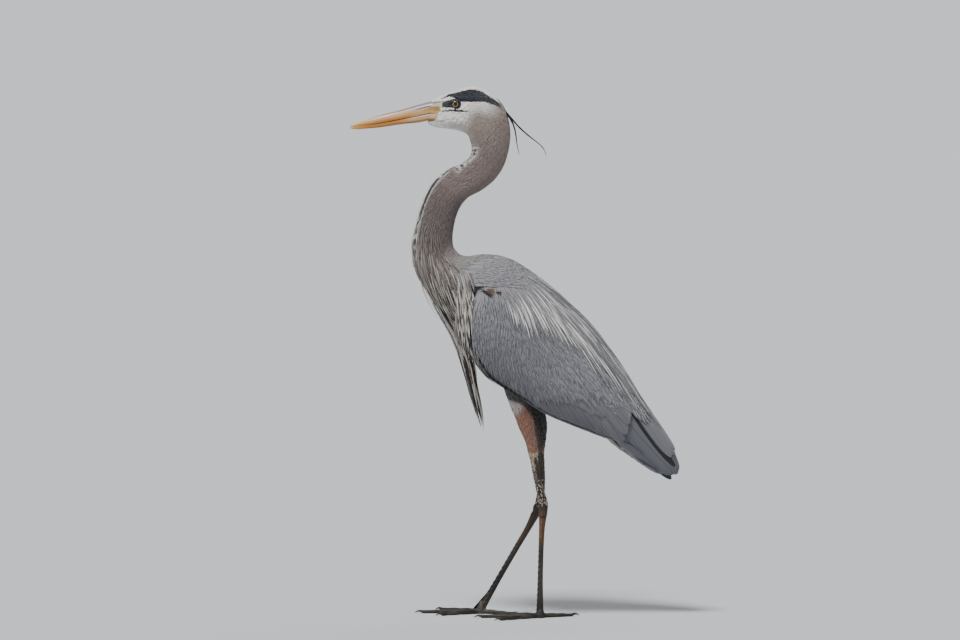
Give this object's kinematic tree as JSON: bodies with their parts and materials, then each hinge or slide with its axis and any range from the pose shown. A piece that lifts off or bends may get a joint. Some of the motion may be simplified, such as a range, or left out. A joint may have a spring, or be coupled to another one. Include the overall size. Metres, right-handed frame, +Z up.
{
  "type": "great blue heron, standing still model",
  "caption": "Life-size great blue heron standing still, neck folded in an S, wings and tail folded, the right foot set forward.",
  "frame": {"origin": "on the floor, under the middle of the whole bird's bounding box", "axes": "+Z up. The bill points to -X and the tail to +X. The bird's left side is towards -Y. The soles rest on z = 0."},
  "size_m": [0.536, 0.1768, 0.8602],
  "materials": {
    "plumage_grey": "soft, matt, blue-grey feathers",
    "plumage_neck": "soft, matt, mauve-grey feathers",
    "plumage_white": "soft, matt, white feathers with a black crown stripe",
    "plumage_plumes": "soft, matt, pale grey plumes",
    "plumage_black": "satin, near-black quills",
    "plumage_thigh": "soft, matt, rufous feathers",
    "bill_horn": "satin horn, yellow-orange",
    "leg_skin": "scaly, dull olive-brown",
    "claw_horn": "satin, near-black horn",
    "eye": "wet gloss, yellow iris and black pupil"
  },
  "bodies": {
    "root": {"head": "plumage_white", "neck_upper": "plumage_neck", "neck_middle": "plumage_neck", "neck_lower": "plumage_neck", "trunk": "plumage_grey", "wing_left": "plumage_grey", "wing_right": "plumage_grey", "tail": "plumage_grey", "breast_plumes": "plumage_plumes", "scapulars_left": "plumage_plumes", "scapulars_right": "plumage_plumes", "primaries_left": "plumage_black", "primaries_right": "plumage_black", "crest_plume_long": "plumage_black", "crest_plume_short": "plumage_black", "thigh_left": "plumage_thigh", "thigh_right": "plumage_thigh", "bill_upper": "bill_horn", "bill_lower": "bill_horn", "eye_left": "eye", "eye_right": "eye", "shin_left": "leg_skin", "ankle_left": "leg_skin", "tarsus_left": "leg_skin", "foot_left": "leg_skin", "shin_right": "leg_skin", "ankle_right": "leg_skin", "tarsus_right": "leg_skin", "foot_right": "leg_skin", "toe_middle_left": "leg_skin", "toe_inner_left": "leg_skin", "toe_outer_left": "leg_skin", "toe_hind_left": "leg_skin", "toe_middle_right": "leg_skin", "toe_inner_right": "leg_skin", "toe_outer_right": "leg_skin", "toe_hind_right": "leg_skin", "claw_middle_left": "claw_horn", "claw_inner_left": "claw_horn", "claw_outer_left": "claw_horn", "claw_hind_left": "claw_horn", "claw_middle_right": "claw_horn", "claw_inner_right": "claw_horn", "claw_outer_right": "claw_horn", "claw_hind_right": "claw_horn"}
  },
  "joints": []
}
